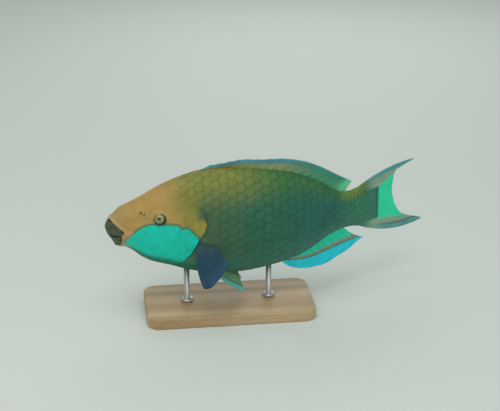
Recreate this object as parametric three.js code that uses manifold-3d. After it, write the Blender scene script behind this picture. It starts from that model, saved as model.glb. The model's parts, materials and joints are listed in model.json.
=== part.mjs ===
// A parrotfish, a full-grown male of the green-cheeked kind, as a life-size museum model on a plain stand.
// Millimetres, +Z up. The head points to -X and the fish's left side faces -Y.
// The origin is the centre of the stand's underside, which rests on the floor.
import * as THREE from 'three';
import { mergeVertices } from 'three/addons/utils/BufferGeometryUtils.js';
import Module from 'manifold-3d';

const wasm = await Module();
wasm.setup();

// Driving dimensions
const BODY_LENGTH = 370; // snout to the root of the tail fin
const AXIS_HEIGHT = 131; // body axis above the floor
const BALANCE_POINT = 167; // distance from the snout to the middle of the stand
const BEND_START = 0.5 * BODY_LENGTH;
const BEND_END = BODY_LENGTH;
const TAIL_SWING = THREE.MathUtils.degToRad(31); // the tail swings to the fish's right
const GAP = 0.3; // between nodes that touch
const BODY_END = 374; // where the flesh stops and the tail fin begins
const HEAD_END = 126;
const TRUNK_END = 262;

// Side and plan outlines of the body: distance from the snout, then height above the axis or half width
const BACK = [
  [-2, 4], [0, 10], [6, 20], [18, 32], [33, 39], [46, 45.5], [74, 61], [104, 73], [130, 80],
  [160, 81.5], [200, 79], [240, 72.5], [270, 63], [304, 45], [334, 26.5], [352, 24], [374, 27],
];
const BELLY = [
  [-2, 4], [0, -3], [5, -16], [11, -25], [20, -25.5], [31, -30], [46, -42], [60, -49.5], [85, -57],
  [110, -65.5], [140, -71.5], [180, -72.5], [212, -69], [245, -63], [271, -56.5], [302, -42],
  [320, -34.5], [340, -31], [354, -31.5], [374, -36],
];
const HALF_WIDTH = [
  [-2, 0.5], [0, 6], [6, 10.5], [18, 15], [46, 22.5], [75, 28], [105, 31.5], [140, 33.5], [180, 33],
  [220, 29.5], [260, 23.5], [300, 16], [340, 9.5], [374, 4.5],
];
const WIDEST_LEVEL = 0.53; // share of the depth, from the belly up, where the body is widest
const BACK_PINCH = 1.12; // above 1 narrows the back towards its ridge
const BELLY_PINCH = 0.94; // below 1 fills the belly out
const BODY_STATIONS = 38;
const BODY_SIDES = 28;
const STATION_CROWDING = 1.35; // above 1 draws the stations towards the snout, where the outline turns fastest

// A smooth curve through the points that never overshoots between two of them
function lineThrough(points) {
  const n = points.length;
  const slopes = [];
  for (let i = 0; i < n - 1; i++) {
    slopes.push((points[i + 1][1] - points[i][1]) / (points[i + 1][0] - points[i][0]));
  }
  const tangents = points.map((_, i) => {
    if (i === 0) return slopes[0];
    if (i === n - 1) return slopes[n - 2];
    const product = slopes[i - 1] * slopes[i];
    return product <= 0 ? 0 : (2 * product) / (slopes[i - 1] + slopes[i]);
  });
  return (s) => {
    const x = THREE.MathUtils.clamp(s, points[0][0], points[n - 1][0]);
    let i = 0;
    while (i < n - 2 && x > points[i + 1][0]) i++;
    const span = points[i + 1][0] - points[i][0];
    const t = (x - points[i][0]) / span;
    const rest = 1 - t;
    return (
      points[i][1] * rest * rest * (1 + 2 * t) +
      tangents[i] * span * t * rest * rest +
      points[i + 1][1] * t * t * (3 - 2 * t) -
      tangents[i + 1] * span * t * t * rest
    );
  };
}

const backAt = lineThrough(BACK);
const bellyAt = lineThrough(BELLY);
const halfWidthAt = lineThrough(HALF_WIDTH);

// A point given along the body (s), to its side (y, minus is the left) and above its axis (z), in the part's frame
function place(s, y, z) {
  const curvature = TAIL_SWING / (BEND_END - BEND_START);
  const along = THREE.MathUtils.clamp(s, BEND_START, BEND_END) - BEND_START;
  const turn = curvature * along;
  const beyond = Math.max(s - BEND_END, 0);
  const straight = Math.min(s, BEND_START);
  const x = straight + Math.sin(turn) / curvature + beyond * Math.cos(turn);
  const aside = (1 - Math.cos(turn)) / curvature + beyond * Math.sin(turn);
  return new THREE.Vector3(
    x - y * Math.sin(turn) - BALANCE_POINT,
    aside + y * Math.cos(turn),
    z + AXIS_HEIGHT
  );
}

// The body's outline in one section, at an angle from the back's ridge; swell moves it outwards
function sectionPoint(s, angle, swell) {
  const top = backAt(s) + swell;
  const bottom = bellyAt(s) - swell;
  const middle = bottom + WIDEST_LEVEL * (top - bottom);
  const rise = Math.cos(angle);
  const pinch = rise > 0 ? BACK_PINCH : BELLY_PINCH;
  const out = Math.sign(Math.sin(angle)) * Math.pow(Math.abs(Math.sin(angle)), pinch);
  const y = (halfWidthAt(s) + swell) * out;
  const z = middle + rise * (rise > 0 ? top - middle : middle - bottom);
  return [y, z];
}

// How far out the left or right flank is at a place on the side
function flankAt(s, z) {
  let low = 0;
  let high = Math.PI;
  for (let i = 0; i < 30; i++) {
    const angle = (low + high) / 2;
    if (sectionPoint(s, angle, 0)[1] > z) low = angle;
    else high = angle;
  }
  return sectionPoint(s, low, 0)[0];
}

// Closed solids from rings of points, each ring seen anticlockwise from the front
function solidFromRings(rings) {
  const sides = rings[0].length;
  const positions = rings.flat().flatMap((p) => [p.x, p.y, p.z]);
  const index = [];
  for (let i = 0; i < rings.length - 1; i++) {
    for (let j = 0; j < sides; j++) {
      const a = i * sides + j;
      const b = i * sides + ((j + 1) % sides);
      index.push(a, b, a + sides, b, b + sides, a + sides);
    }
  }
  for (const [ring, start] of [[rings[0], 0], [rings.at(-1), (rings.length - 1) * sides]]) {
    const middle = ring.reduce((sum, p) => sum.add(p), new THREE.Vector3()).divideScalar(sides);
    const centre = positions.length / 3;
    positions.push(middle.x, middle.y, middle.z);
    for (let j = 0; j < sides; j++) {
      const a = start + j;
      const b = start + ((j + 1) % sides);
      if (start === 0) index.push(centre, b, a);
      else index.push(centre, a, b);
    }
  }
  const geometry = new THREE.BufferGeometry();
  geometry.setAttribute('position', new THREE.Float32BufferAttribute(positions, 3));
  geometry.setIndex(index);
  return toSolid(geometry);
}

const SAME_POINT = 1e-3;
function toSolid(geometry) {
  const bare = geometry.clone();
  bare.deleteAttribute('normal');
  bare.deleteAttribute('uv');
  const merged = mergeVertices(bare, SAME_POINT);
  const triangles = [];
  for (let i = 0; i < merged.index.count; i += 3) {
    const [a, b, c] = [0, 1, 2].map((k) => merged.index.getX(i + k));
    if (a !== b && b !== c && c !== a) triangles.push(a, b, c);
  }
  const vertProperties = new Float32Array(merged.attributes.position.array);
  const triVerts = new Uint32Array(triangles);
  const solid = new wasm.Manifold(new wasm.Mesh({ numProp: 3, vertProperties, triVerts }));
  if (solid.volume() >= 0) return solid;
  for (let i = 0; i < triVerts.length; i += 3) {
    [triVerts[i + 1], triVerts[i + 2]] = [triVerts[i + 2], triVerts[i + 1]];
  }
  return new wasm.Manifold(new wasm.Mesh({ numProp: 3, vertProperties, triVerts }));
}

function largestPiece(solid) {
  return solid.decompose().reduce((best, next) => (next.volume() > best.volume() ? next : best));
}

function toMesh(name, solid, material) {
  const made = largestPiece(solid).getMesh();
  const geometry = new THREE.BufferGeometry();
  geometry.setAttribute('position', new THREE.BufferAttribute(new Float32Array(made.vertProperties), 3));
  geometry.setIndex(new THREE.BufferAttribute(new Uint32Array(made.triVerts), 1));
  geometry.computeVertexNormals();
  const mesh = new THREE.Mesh(geometry, material);
  mesh.name = name;
  return mesh;
}

function stationAt(share) {
  return BACK[0][0] + (BODY_END - BACK[0][0]) * Math.pow(share, STATION_CROWDING);
}

// The body, or the length of it between two stations; swell moves its surface outwards
function wholeBody(swell, first = 0, last = BODY_STATIONS) {
  const rings = [];
  for (let i = first; i <= last; i++) {
    const s = stationAt(i / BODY_STATIONS);
    const ring = [];
    for (let j = 0; j < BODY_SIDES; j++) {
      const [y, z] = sectionPoint(s, (2 * Math.PI * j) / BODY_SIDES, swell);
      ring.push(place(s, y, z));
    }
    rings.push(ring);
  }
  return solidFromRings(rings);
}

const BEYOND = 120; // from the axis to past the back and belly
const BLOCK_STEPS = 12; // lengths that follow the bend
// A block across the whole body between two distances from the snout, bent as the body is
function lengthOfBody(from, to) {
  const corners = [[-BEYOND, BEYOND], [BEYOND, BEYOND], [BEYOND, -BEYOND], [-BEYOND, -BEYOND]];
  const rings = [];
  for (let i = 0; i <= BLOCK_STEPS; i++) {
    const s = from + ((to - from) * i) / BLOCK_STEPS;
    rings.push(corners.map(([y, z]) => place(s, y, z)));
  }
  return solidFromRings(rings);
}

// A side outline pushed through the head from one distance aside to another, for cuts in front of the bend
function sidePrism(outline, yFrom, yTo) {
  const shape = new THREE.Shape(outline.map(([s, z]) => new THREE.Vector2(s, z)));
  const geometry = new THREE.ExtrudeGeometry(shape, { depth: yTo - yFrom, bevelEnabled: false });
  geometry.rotateX(Math.PI / 2);
  geometry.translate(-BALANCE_POINT, yTo, AXIS_HEIGHT);
  return toSolid(geometry);
}

// The same outline moved outwards from its middle by a clearance
function widened(outline, clearance) {
  const n = outline.length;
  const area = outline.reduce((sum, [s, z], i) => {
    const [s2, z2] = outline[(i + 1) % n];
    return sum + s * z2 - s2 * z;
  }, 0);
  const side = Math.sign(area);
  const normal = ([s, z], [s2, z2]) => {
    const length = Math.hypot(s2 - s, z2 - z);
    return [(side * (z2 - z)) / length, (-side * (s2 - s)) / length];
  };
  return outline.map((point, i) => {
    const before = normal(outline[(i + n - 1) % n], point);
    const after = normal(point, outline[(i + 1) % n]);
    const share = 1 + before[0] * after[0] + before[1] * after[1];
    return [
      point[0] + (clearance * (before[0] + after[0])) / share,
      point[1] + (clearance * (before[1] + after[1])) / share,
    ];
  });
}

// Fins: a membrane with a raised ridge along each ray, split alike on both faces.
// surface(u, v) gives the middle of the fin, u across the rays and v from root to tip; normal(u, v) its side.
const TAPER = 0.8; // below 1 thins the fin sooner on its way out
const RAY_AT_EDGE = 1.3; // a ray's thickness at the fin's edge against the membrane's
function fin({ rays, surface, normal, rows, rayHalf, webHalf, edgeHalf }) {
  const columns = 2 * rays - 1;
  const at = (i, j, side) => {
    const u = i / (columns - 1);
    const v = j / rows;
    const root = i % 2 === 0 ? rayHalf : webHalf;
    const half = THREE.MathUtils.lerp(root, edgeHalf * (i % 2 === 0 ? RAY_AT_EDGE : 1), Math.pow(v, TAPER));
    return surface(u, v).addScaledVector(normal(u, v), side * half);
  };
  const perFace = columns * (rows + 1);
  const positions = [];
  for (const side of [1, -1]) {
    for (let j = 0; j <= rows; j++) {
      for (let i = 0; i < columns; i++) positions.push(...at(i, j, side).toArray());
    }
  }
  const index = [];
  for (let j = 0; j < rows; j++) {
    for (let i = 0; i < columns - 1; i++) {
      const a = j * columns + i;
      const quad = [a, a + 1, a + columns + 1, a, a + columns + 1, a + columns];
      index.push(...quad);
      for (let k = 0; k < 6; k += 3) index.push(quad[k] + perFace, quad[k + 2] + perFace, quad[k + 1] + perFace);
    }
  }
  const rim = [];
  for (let i = 0; i < columns - 1; i++) rim.push([i + 1, i], [rows * columns + i, rows * columns + i + 1]);
  for (let j = 0; j < rows; j++) {
    rim.push([j * columns, (j + 1) * columns], [(j + 2) * columns - 1, (j + 1) * columns - 1]);
  }
  for (const [a, b] of rim) index.push(a, b, b + perFace, a, b + perFace, a + perFace);
  const geometry = new THREE.BufferGeometry();
  geometry.setAttribute('position', new THREE.Float32BufferAttribute(positions, 3));
  geometry.setIndex(index);
  return toSolid(geometry);
}

const material = (name, color, roughness, metalness = 0) =>
  new THREE.MeshStandardMaterial({ name, color, roughness, metalness });
const MATERIALS = {
  headSkin: material('head_skin', 0xa98f4e, 0.45),
  cheekSkin: material('cheek_skin', 0x16b89e, 0.4),
  bodySkin: material('body_skin', 0x3a6a4e, 0.45),
  lipSkin: material('lip_skin', 0xb49a6c, 0.4),
  beak: material('beak', 0x4a5a45, 0.6),
  eye: material('eye', 0x9a9460, 0.1),
  medianFin: material('median_fin', 0x3d9a86, 0.4),
  pectoralFin: material('pectoral_fin', 0x24485a, 0.4),
  pelvicFin: material('pelvic_fin', 0x5aa080, 0.4),
  standWood: material('stand_wood', 0xb49b7a, 0.5),
  standMetal: material('stand_metal', 0xa9a59a, 0.3, 1),
};

const fish = new THREE.Group();
const add = (name, solid, look) => fish.add(toMesh(name, solid, look));

const body = wholeBody(0);
const bodyClear = wholeBody(GAP);

// Beak: fused tooth plates in front of the lips, the upper ones biting over the lower
const UPPER_BEAK_OUTLINE = [
  [-12, 15.5], [4.5, 15.5], [9.5, 10.5], [16, 5.5], [22, 1], [22, -2], [17, -5], [9, -6.8], [-12, -6.8],
];
const LOWER_BEAK_OUTLINE = [[-12, -8.2], [9, -8.2], [16, -6.6], [19, -12], [17.5, -19], [12.5, -27.5], [-12, -27.5]];
const MOUTH_SLIT_OUTLINE = [
  [-12, -6.6], [9, -6.6], [17, -4.8], [23.5, -1.2], [23.5, -2.6], [16, -6.8], [9, -8.4], [-12, -8.4],
];
const JAW_OUTLINE = [[-12, -8.3], [9, -8.3], [16, -6.7], [25, -3.4], [34, -24], [42, -60], [-12, -60]];
const HALF_SPAN = 60; // from the mid plane to past either flank
const OVERRUN = 20; // past the snout or the tail fin's root

// Lips: a soft rim that follows the beak's edge round the snout
const UPPER_LIP_RADIUS = 2.6;
const LOWER_LIP_RADIUS = 2.1;
const LIP_GAP = 0.5;
const LIP_STEPS = 16;
const LIP_HALF_SIDES = 4;
function lipPath(line) {
  const half = (side) => line.map(([s, z, sink]) => place(s, side * Math.max(flankAt(s, z) - sink, 0), z));
  const left = half(-1);
  const right = half(1);
  return new THREE.CatmullRomCurve3([...left.reverse(), ...right.slice(1)], false, 'centripetal');
}
function lip(line, radius) {
  const outline = new THREE.Shape();
  outline.absarc(0, 0, radius, 0, 2 * Math.PI);
  const geometry = new THREE.ExtrudeGeometry(outline, {
    steps: LIP_STEPS,
    curveSegments: LIP_HALF_SIDES,
    bevelEnabled: false,
    extrudePath: lipPath(line),
  });
  return toSolid(geometry);
}
const UPPER_LIP_LINE = [[5.2, 17.2, 20], [7.5, 14.5, 1.2], [11, 11.5, 1.0], [17, 7, 1.0], [23.5, 2.2, 1.2]];
const LOWER_LIP_LINE = [[14, -24.8, 30], [17.6, -21.4, 1.6], [19.8, -17, 1.4], [21, -12, 1.4], [23.6, -6, 1.8]];

// Gill covers: a raised plate on each side, from behind the eye to the gill opening
const COVER_OUTLINE = [
  [88, 26], [104, 34], [118, 37], [127, 32], [133.5, 20], [134.5, 10], [131, 1], [124, -9], [119, -21],
  [113, -33], [105, -43], [95, -50], [87, -46], [80, -32], [79, -8],
];
const COVER_STAND = 1.3; // how far the plate stands proud of the flank
const COVER_THICK = 8; // how far it reaches in below the flank
const COVER_STATIONS = [8, 24]; // body stations that reach past it at both ends

// Eyes, with a raised rim, and the two nostrils in front of each
const EYE_PLACE = { s: 71.5, z: 20.5 };
const EYE_RADIUS = 10.5;
const EYE_PROUD = 3;
const EYE_RIM_RADIUS = 8.6;
const EYE_RIM_TUBE = 1.6;
const EYE_RIM_SINK = 0.5; // how far the rim's middle lies below the flank
const EYE_TURNED_UP = 0.22; // the rim follows the flank, which faces up and forward here, in radians
const EYE_TURNED_FORWARD = 0.12;
const NOSTRILS = [{ s: 46, z: 28, r: 1.5 }, { s: 50.5, z: 26.5, r: 1.1 }];
const NOSTRIL_LENGTH = 8; // of the pin that cuts it, half of it outside
const NOSTRIL_TAPER = 0.7;

function eyeBall(side, radius) {
  const out = flankAt(EYE_PLACE.s, EYE_PLACE.z) - EYE_RADIUS + EYE_PROUD;
  const geometry = new THREE.SphereGeometry(radius, 18, 10);
  const centre = place(EYE_PLACE.s, side * out, EYE_PLACE.z);
  return toSolid(geometry.translate(centre.x, centre.y, centre.z));
}
function eyeRim(side) {
  const geometry = new THREE.TorusGeometry(EYE_RIM_RADIUS, EYE_RIM_TUBE, 6, 20);
  geometry.rotateX(Math.PI / 2);
  geometry.rotateX(side * EYE_TURNED_UP);
  geometry.rotateZ(side * EYE_TURNED_FORWARD);
  const centre = place(EYE_PLACE.s, side * (flankAt(EYE_PLACE.s, EYE_PLACE.z) - EYE_RIM_SINK), EYE_PLACE.z);
  return toSolid(geometry.translate(centre.x, centre.y, centre.z));
}
function nostril(side, { s, z, r }) {
  const geometry = new THREE.CylinderGeometry(r, r * NOSTRIL_TAPER, NOSTRIL_LENGTH, 8);
  const centre = place(s, side * flankAt(s, z), z);
  return toSolid(geometry.translate(centre.x, centre.y, centre.z));
}

const upperLip = lip(UPPER_LIP_LINE, UPPER_LIP_RADIUS);
const lowerLip = lip(LOWER_LIP_LINE, LOWER_LIP_RADIUS);
const upperLipClear = lip(UPPER_LIP_LINE, UPPER_LIP_RADIUS + LIP_GAP);
const lowerLipClear = lip(LOWER_LIP_LINE, LOWER_LIP_RADIUS + LIP_GAP);
const beakSpan = (outline) => sidePrism(outline, -HALF_SPAN, HALF_SPAN);

const upperBeak = body.intersect(beakSpan(UPPER_BEAK_OUTLINE)).subtract(upperLipClear).subtract(lowerLipClear);
const lowerBeak = body.intersect(beakSpan(LOWER_BEAK_OUTLINE)).subtract(upperLipClear).subtract(lowerLipClear);
add('upper_beak', upperBeak, MATERIALS.beak);
add('lower_beak', lowerBeak, MATERIALS.beak);
add('upper_lip', upperLip, MATERIALS.lipSkin);
add('lower_lip', lowerLip.subtract(upperLipClear), MATERIALS.lipSkin);

const jawBlock = beakSpan(JAW_OUTLINE);
const lowerJaw = body
  .intersect(jawBlock)
  .subtract(beakSpan(widened(LOWER_BEAK_OUTLINE, GAP)))
  .subtract(beakSpan(MOUTH_SLIT_OUTLINE))
  .subtract(upperLipClear)
  .subtract(lowerLipClear);
add('lower_jaw', lowerJaw, MATERIALS.headSkin);

let head = body
  .intersect(lengthOfBody(-OVERRUN, HEAD_END))
  .subtract(beakSpan(widened(UPPER_BEAK_OUTLINE, GAP)))
  .subtract(beakSpan(MOUTH_SLIT_OUTLINE))
  .subtract(beakSpan(widened(JAW_OUTLINE, GAP)))
  .subtract(upperLipClear)
  .subtract(lowerLipClear);
let trunk = body.intersect(lengthOfBody(HEAD_END + GAP, TRUNK_END));
const coverShell = wholeBody(COVER_STAND).subtract(wholeBody(-COVER_THICK, ...COVER_STATIONS));
const coreBelowCovers = wholeBody(-COVER_THICK - GAP, ...COVER_STATIONS);
for (const [side, name] of [[-1, 'left'], [1, 'right']]) {
  const span = side < 0 ? [-HALF_SPAN, 0] : [0, HALF_SPAN];
  const cover = coverShell.intersect(sidePrism(COVER_OUTLINE, ...span));
  const hollow = sidePrism(widened(COVER_OUTLINE, GAP), ...span).subtract(coreBelowCovers);
  head = head.subtract(hollow).add(eyeRim(side)).subtract(eyeBall(side, EYE_RADIUS + GAP));
  for (const pit of NOSTRILS) head = head.subtract(nostril(side, pit));
  trunk = trunk.subtract(hollow);
  add('gill_cover_' + name, cover, MATERIALS.cheekSkin);
  add('eye_' + name, eyeBall(side, EYE_RADIUS), MATERIALS.eye);
}
add('head', head, MATERIALS.headSkin);
add('trunk', trunk, MATERIALS.bodySkin);
add('tail_stalk', body.intersect(lengthOfBody(TRUNK_END + GAP, BODY_END + OVERRUN)), MATERIALS.bodySkin);

// Fins on the mid plane stand on a line of the body, with rays that lean back
const FIN_SINK = 7; // how deep a root starts inside the body before it is cut to the skin
const FIN_THICKNESS = { rayHalf: 1.5, webHalf: 0.75, edgeHalf: 0.4 }; // half thicknesses at the root and the edge
const sideways = (s) => place(s, 1, 0).sub(place(s, 0, 0)).normalize();

// The edge of each is given by its own outline, distance from the snout and height
const DORSAL_EDGE = [
  [129, 83], [142, 86], [156, 88.5], [170, 91], [190, 92.5], [225, 91], [254, 87.5], [272, 83],
  [300, 70], [333, 50], [354, 38],
];
const DORSAL = { from: 127, to: 337, leanFront: 3, leanRear: 17, rays: 19 };
const dorsalEdge = lineThrough(DORSAL_EDGE);
const dorsalFin = fin({
  rays: DORSAL.rays,
  rows: 3,
  ...FIN_THICKNESS,
  surface: (u, v) => {
    const s = THREE.MathUtils.lerp(DORSAL.from, DORSAL.to, u);
    const tipS = s + THREE.MathUtils.lerp(DORSAL.leanFront, DORSAL.leanRear, u);
    const rootZ = backAt(s) - FIN_SINK;
    return place(THREE.MathUtils.lerp(s, tipS, v), 0, THREE.MathUtils.lerp(rootZ, dorsalEdge(tipS), v));
  },
  normal: (u) => sideways(THREE.MathUtils.lerp(DORSAL.from, DORSAL.to, u)),
});
add('dorsal_fin', dorsalFin.subtract(bodyClear), MATERIALS.medianFin);

const ANAL_EDGE = [
  [246, -68], [256, -75], [270, -79], [287, -81.5], [303, -81], [320, -77.5], [337, -72], [355, -65], [380, -55],
];
const ANAL = { from: 241, to: 335, leanFront: 5, leanRear: 45, bow: 4, rays: 12 };
const analEdge = lineThrough(ANAL_EDGE);
const analFin = fin({
  rays: ANAL.rays,
  rows: 4,
  ...FIN_THICKNESS,
  surface: (u, v) => {
    const s = THREE.MathUtils.lerp(ANAL.from, ANAL.to, u);
    const tipS = s + THREE.MathUtils.lerp(ANAL.leanFront, ANAL.leanRear, u);
    const rootZ = bellyAt(s) + FIN_SINK;
    const sag = ANAL.bow * 4 * v * (1 - v) * u;
    return place(THREE.MathUtils.lerp(s, tipS, v), 0, THREE.MathUtils.lerp(rootZ, analEdge(tipS), v) - sag);
  },
  normal: (u) => sideways(THREE.MathUtils.lerp(ANAL.from, ANAL.to, u)),
});
add('anal_fin', analFin.subtract(bodyClear), MATERIALS.medianFin);

// Tail fin: a crescent with long lobes, its hollow edge given as height, then distance from the snout
const TAIL_EDGE = [
  [-56, 498], [-53, 494], [-46, 475], [-34, 452], [-13, 439], [10, 435], [25, 436], [34, 441], [38, 455], [44, 479],
];
const TAIL = { root: [-36, 27], bowAbove: 6, bowBelow: 10, rays: 13 };
const TAIL_THICKNESS = { rayHalf: 3.2, webHalf: 2.4, edgeHalf: 0.45 };
const LOBE_CROWDING = 0.8; // below 1 draws the rays together in the two lobes
const tailEdge = lineThrough(TAIL_EDGE);
const tailFin = fin({
  rays: TAIL.rays,
  rows: 5,
  ...TAIL_THICKNESS,
  surface: (u, v) => {
    const across = 2 * u - 1;
    const crowded = (1 + Math.sign(across) * Math.pow(Math.abs(across), LOBE_CROWDING)) / 2;
    const tipZ = THREE.MathUtils.lerp(TAIL_EDGE[0][0], TAIL_EDGE.at(-1)[0], crowded);
    const rootZ = THREE.MathUtils.lerp(...TAIL.root, u);
    const bow = across > 0 ? TAIL.bowAbove : -TAIL.bowBelow;
    const z = THREE.MathUtils.lerp(rootZ, tipZ, v) + bow * across * across * 4 * v * (1 - v);
    return place(THREE.MathUtils.lerp(BODY_END + GAP, tailEdge(tipZ), v), 0, z);
  },
  normal: () => sideways(BEND_END),
});
add('tail_fin', tailFin, MATERIALS.medianFin);

// Paired fins: a fan of rays between a leading and a trailing one, each given by its root and tip (s, y, z).
// The cup hollows the fan's inner side, and the bow curves its leading rays in its own plane.
function fan({ leading, trailing, rays, rows, side, cup, bow, tipBulge, half }) {
  const vector = ([s, y, z]) => new THREE.Vector3(s, y, z);
  const [leadRoot, leadTip] = leading.map(vector);
  const [trailRoot, trailTip] = trailing.map(vector);
  const at = (u, v) => {
    const root = leadRoot.clone().lerp(trailRoot, u);
    const tip = leadTip.clone().lerp(trailTip, u);
    const reach = tip.sub(root);
    const bulge = 1 + tipBulge * 4 * u * (1 - u);
    const p = root.addScaledVector(reach, v * bulge);
    const arch = 4 * v * (1 - v);
    p.x += bow[0] * arch * (1 - u) * (1 - u);
    p.y -= cup * arch;
    p.z += bow[1] * arch * (1 - u) * (1 - u);
    return place(p.x, -side * p.y, p.z);
  };
  const normal = (u, v) => {
    const step = 0.02;
    const across = at(Math.min(u + step, 1), v).sub(at(Math.max(u - step, 0), v));
    const along = at(u, Math.min(v + step, 1)).sub(at(u, Math.max(v - step, 0)));
    return across.cross(along).normalize();
  };
  const webHalf = half * FAN_WEB_SHARE;
  return fin({ rays, rows, surface: at, normal, rayHalf: half, webHalf, edgeHalf: FAN_EDGE_HALF });
}
const FAN_WEB_SHARE = 0.55; // membrane against ray
const FAN_EDGE_HALF = 0.4;
const PECTORAL = {
  leading: [[127, -25, -6], [126, -64, -68]],
  trailing: [[143, -25, -18], [161, -50, -37]],
  rays: 14,
  rows: 4,
  cup: 3,
  bow: [-8, 0],
  tipBulge: 0.15,
  half: 1.1,
};
const PELVIC = {
  leading: [[136, -7, -61], [189, -24, -95]],
  trailing: [[148, -4, -64], [182, -9, -78]],
  rays: 6,
  rows: 4,
  cup: 0,
  bow: [0, -6],
  tipBulge: -0.05,
  half: 1.2,
};
for (const [side, name] of [[-1, 'left'], [1, 'right']]) {
  add('pectoral_fin_' + name, fan({ ...PECTORAL, side }).subtract(bodyClear), MATERIALS.pectoralFin);
  add('pelvic_fin_' + name, fan({ ...PELVIC, side }).subtract(bodyClear), MATERIALS.pelvicFin);
}

// Stand: a flat plinth and two short rods that end at the belly
const PLINTH = { length: 236, width: 112, height: 16, corner: 18, bevel: 2 };
const ROD_RADIUS = 4;
const FERRULE = { radius: 9, height: 5, chamfer: 1, shoulder: 1.5 };
const ROD_STATIONS = { front: 108, rear: 224 };
const ROD_TOP = AXIS_HEIGHT - 40; // inside the body, which cuts the rods to its belly
const ROD_SIDES = 16;

function plinth() {
  const { length, width, height, corner, bevel } = PLINTH;
  const x = length / 2 - bevel;
  const y = width / 2 - bevel;
  const r = corner - bevel;
  const shape = new THREE.Shape();
  shape.moveTo(-x + r, -y);
  shape.lineTo(x - r, -y);
  shape.absarc(x - r, -y + r, r, -Math.PI / 2, 0);
  shape.lineTo(x, y - r);
  shape.absarc(x - r, y - r, r, 0, Math.PI / 2);
  shape.lineTo(-x + r, y);
  shape.absarc(-x + r, y - r, r, Math.PI / 2, Math.PI);
  shape.lineTo(-x, -y + r);
  shape.absarc(-x + r, -y + r, r, Math.PI, 1.5 * Math.PI);
  const geometry = new THREE.ExtrudeGeometry(shape, {
    depth: height - 2 * bevel,
    curveSegments: 5,
    bevelSize: bevel,
    bevelThickness: bevel,
    bevelSegments: 1,
  });
  return toSolid(geometry.translate(0, 0, bevel));
}
function rod(station) {
  const foot = place(station, 0, 0);
  const floor = PLINTH.height + GAP;
  const profile = [
    [0, floor], [FERRULE.radius, floor], [FERRULE.radius, floor + FERRULE.height - FERRULE.chamfer],
    [FERRULE.radius - FERRULE.shoulder, floor + FERRULE.height], [ROD_RADIUS, floor + FERRULE.height],
    [ROD_RADIUS, ROD_TOP], [0, ROD_TOP],
  ].map(([r, z]) => new THREE.Vector2(r, z));
  const geometry = new THREE.LatheGeometry(profile, ROD_SIDES).rotateX(Math.PI / 2);
  return toSolid(geometry.translate(foot.x, foot.y, 0)).subtract(bodyClear);
}
add('stand_base', plinth(), MATERIALS.standWood);
add('stand_rod_front', rod(ROD_STATIONS.front), MATERIALS.standMetal);
add('stand_rod_rear', rod(ROD_STATIONS.rear), MATERIALS.standMetal);

export default fish;
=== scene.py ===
# %% [markdown]
# A parrotfish on a display stand
#
# The fish is a full-grown male of the green-cheeked kind, shown as a museum shows it: life-size,
# swimming, with its tail swung away from us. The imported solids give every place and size.
# This lesson dresses them: one seamless skin with real relief, a coat of scales, fins with forked
# rays, a beak of fused teeth, two eyes, and the stand.

# %% The frame
import json
import math

import bpy
import numpy as np
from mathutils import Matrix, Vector

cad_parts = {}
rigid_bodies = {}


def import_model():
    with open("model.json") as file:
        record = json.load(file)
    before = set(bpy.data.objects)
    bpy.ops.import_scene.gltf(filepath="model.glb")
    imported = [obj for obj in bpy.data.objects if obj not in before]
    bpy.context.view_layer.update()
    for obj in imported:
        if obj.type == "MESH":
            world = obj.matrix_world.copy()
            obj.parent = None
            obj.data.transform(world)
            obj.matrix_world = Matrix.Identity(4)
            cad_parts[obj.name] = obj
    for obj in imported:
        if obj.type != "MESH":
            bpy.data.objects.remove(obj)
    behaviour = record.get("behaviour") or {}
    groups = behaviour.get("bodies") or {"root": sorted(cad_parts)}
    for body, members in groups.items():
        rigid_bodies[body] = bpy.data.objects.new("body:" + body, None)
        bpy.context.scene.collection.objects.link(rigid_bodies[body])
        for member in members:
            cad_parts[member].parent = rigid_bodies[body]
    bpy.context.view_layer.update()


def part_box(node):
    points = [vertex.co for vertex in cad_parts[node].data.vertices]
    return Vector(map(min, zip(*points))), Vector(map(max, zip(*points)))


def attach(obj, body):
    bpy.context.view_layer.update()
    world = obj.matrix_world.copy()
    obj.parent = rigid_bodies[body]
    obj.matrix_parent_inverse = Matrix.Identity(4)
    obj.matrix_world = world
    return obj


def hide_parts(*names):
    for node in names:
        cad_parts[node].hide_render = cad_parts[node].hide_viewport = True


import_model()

# %% [markdown]
# The view comes first, because everything is judged through it. The photograph looks down on the
# fish a little, from slightly in front of its flank. A long lens from nearly two metres keeps the
# outline as flat as the photograph's. The camera could be placed by eye, but working it out from an
# aim point, a turn and a height keeps those three numbers easy to change.

# %% Camera
VIEW_TURN = math.radians(-7.5)
VIEW_HEIGHT = math.radians(22)
VIEW_DISTANCE = 1.915
AIM = Vector((0.0304, 0.0007, 0.155))
LENS = 100.0

towards_camera = Vector((
    math.sin(VIEW_TURN) * math.cos(VIEW_HEIGHT),
    -math.cos(VIEW_TURN) * math.cos(VIEW_HEIGHT),
    math.sin(VIEW_HEIGHT),
))
camera_data = bpy.data.cameras.new("camera")
camera_data.lens = LENS
camera = bpy.data.objects.new("camera", camera_data)
camera.location = AIM + VIEW_DISTANCE * towards_camera
camera.rotation_euler = towards_camera.to_track_quat("Z", "Y").to_euler()
bpy.context.scene.collection.objects.link(camera)
bpy.context.scene.camera = camera
print("camera at", [round(v, 2) for v in camera.location])

# %% [markdown]
# A fish out of the water is shiny, so soft light matters: large lamps give broad, quiet highlights.
# One large lamp above stands for the bright water surface, a weaker one fills the side that we see,
# and a pale world lifts the shadows. The plain transform keeps painted colours as they are chosen.

# %% Light
world = bpy.data.worlds.new("room")
world.use_nodes = True
world.node_tree.nodes["Background"].inputs["Color"].default_value = (0.86, 0.93, 0.9, 1)
world.node_tree.nodes["Background"].inputs["Strength"].default_value = 0.5
bpy.context.scene.world = world
bpy.context.scene.view_settings.view_transform = "Standard"


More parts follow.
